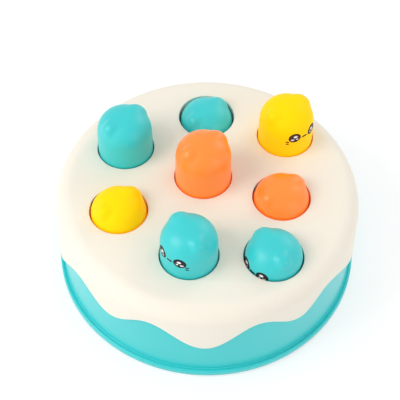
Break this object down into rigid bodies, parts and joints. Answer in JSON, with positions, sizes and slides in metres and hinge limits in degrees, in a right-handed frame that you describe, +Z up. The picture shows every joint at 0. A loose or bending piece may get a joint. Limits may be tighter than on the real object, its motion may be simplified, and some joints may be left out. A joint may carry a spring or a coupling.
{
  "type": "whack-a-mole toy",
  "caption": "Round cake-shaped press-and-pop toy: moles slide in holes of a dripping iced cover and are linked in pairs by see-saw levers, so pressing one lifts the other.",
  "frame": {"origin": "on the table under the middle of the toy, where its feet stand", "axes": "+Z up, -Y towards the front, +X to the right seen from the front"},
  "size_m": [0.21, 0.21, 0.1092],
  "materials": {
    "teal_plastic": "satin injection-moulded plastic",
    "yellow_plastic": "satin injection-moulded plastic",
    "orange_plastic": "satin injection-moulded plastic",
    "cream_plastic": "satin injection-moulded plastic",
    "white_plastic": "natural moulded plastic",
    "steel": "zinc plated",
    "rubber": "soft pale rubber"
  },
  "bodies": {
    "root": {"base_tray": "teal_plastic", "drum_wall": "teal_plastic", "icing_cover": "cream_plastic", "case_screw_1": "steel", "case_screw_2": "steel", "case_screw_3": "steel", "case_screw_4": "steel", "case_screw_5": "steel", "rubber_foot_1": "rubber", "rubber_foot_2": "rubber", "rubber_foot_3": "rubber", "rubber_foot_4": "rubber", "rubber_foot_5": "rubber", "pivot_pin_left": "steel", "pivot_pin_middle": "steel", "pivot_pin_right": "steel", "pivot_pin_front": "steel"},
    "lever_left": {"lever_left": "white_plastic"},
    "lever_middle": {"lever_middle": "white_plastic"},
    "lever_right": {"lever_right": "white_plastic"},
    "lever_front": {"lever_front": "white_plastic"},
    "mole_back_left": {"plunger_back_left": "white_plastic", "mole_cap_back_left": "teal_plastic", "cap_screw_back_left": "steel"},
    "mole_left": {"plunger_left": "white_plastic", "mole_cap_left": "yellow_plastic", "cap_screw_left": "steel"},
    "mole_centre": {"plunger_centre": "white_plastic", "mole_cap_centre": "orange_plastic", "cap_screw_centre": "steel"},
    "mole_back": {"plunger_back": "white_plastic", "mole_cap_back": "teal_plastic", "cap_screw_back": "steel"},
    "mole_back_right": {"plunger_back_right": "white_plastic", "mole_cap_back_right": "yellow_plastic", "cap_screw_back_right": "steel"},
    "mole_right": {"plunger_right": "white_plastic", "mole_cap_right": "orange_plastic", "cap_screw_right": "steel"},
    "mole_front_left": {"plunger_front_left": "white_plastic", "mole_cap_front_left": "teal_plastic", "cap_screw_front_left": "steel"},
    "mole_front_right": {"plunger_front_right": "white_plastic", "mole_cap_front_right": "teal_plastic", "cap_screw_front_right": "steel"}
  },
  "joints": [
    {"name": "see_saw_left", "type": "hinge", "parent": "root", "child": "lever_left", "pos_m": [-0.05794, 0.00408, 0.02377], "axis": [1, 0, 0], "range_deg": [-49.74, 9.12]},
    {"name": "rise_back_left", "type": "slide", "parent": "root", "child": "mole_back_left", "axis": [0, 0, 1], "range_m": [-0.02535, 0.00465]},
    {"name": "rise_left", "type": "slide", "parent": "root", "child": "mole_left", "axis": [0, 0, 1], "range_m": [-0.00465, 0.02535]},
    {"name": "see_saw_middle", "type": "hinge", "parent": "root", "child": "lever_middle", "pos_m": [-0.00337, 0.03563, 0.02377], "axis": [-1, 0, 0], "range_deg": [-56.06, 2.8]},
    {"name": "rise_centre", "type": "slide", "parent": "root", "child": "mole_centre", "axis": [0, 0, 1], "range_m": [-0.02858, 0.00143]},
    {"name": "rise_back", "type": "slide", "parent": "root", "child": "mole_back", "axis": [0, 0, 1], "range_m": [-0.00143, 0.02858]},
    {"name": "see_saw_right", "type": "hinge", "parent": "root", "child": "lever_right", "pos_m": [0.05097, 0.02035, 0.02377], "axis": [0.999, -0.0436, 0], "range_deg": [-49.15, 9.71]},
    {"name": "rise_back_right", "type": "slide", "parent": "root", "child": "mole_back_right", "axis": [0, 0, 1], "range_m": [-0.02505, 0.00495]},
    {"name": "rise_right", "type": "slide", "parent": "root", "child": "mole_right", "axis": [0, 0, 1], "range_m": [-0.00495, 0.02505]},
    {"name": "see_saw_front", "type": "hinge", "parent": "root", "child": "lever_front", "pos_m": [0.01763, -0.0556, 0.02377], "axis": [-0.0262, 0.9997, 0], "range_deg": [-43.7, 15.16]},
    {"name": "rise_front_left", "type": "slide", "parent": "root", "child": "mole_front_left", "axis": [0, 0, 1], "range_m": [-0.02228, 0.00773]},
    {"name": "rise_front_right", "type": "slide", "parent": "root", "child": "mole_front_right", "axis": [0, 0, 1], "range_m": [-0.00773, 0.02228]}
  ],
  "couplings": [
    {"joint": "rise_back_left", "follows": "see_saw_left", "m_per_rad": 0.029203},
    {"joint": "rise_left", "follows": "see_saw_left", "m_per_rad": -0.029203},
    {"joint": "rise_centre", "follows": "see_saw_middle", "m_per_rad": 0.029203},
    {"joint": "rise_back", "follows": "see_saw_middle", "m_per_rad": -0.029203},
    {"joint": "rise_back_right", "follows": "see_saw_right", "m_per_rad": 0.029203},
    {"joint": "rise_right", "follows": "see_saw_right", "m_per_rad": -0.029203},
    {"joint": "rise_front_left", "follows": "see_saw_front", "m_per_rad": 0.029203},
    {"joint": "rise_front_right", "follows": "see_saw_front", "m_per_rad": -0.029203}
  ]
}
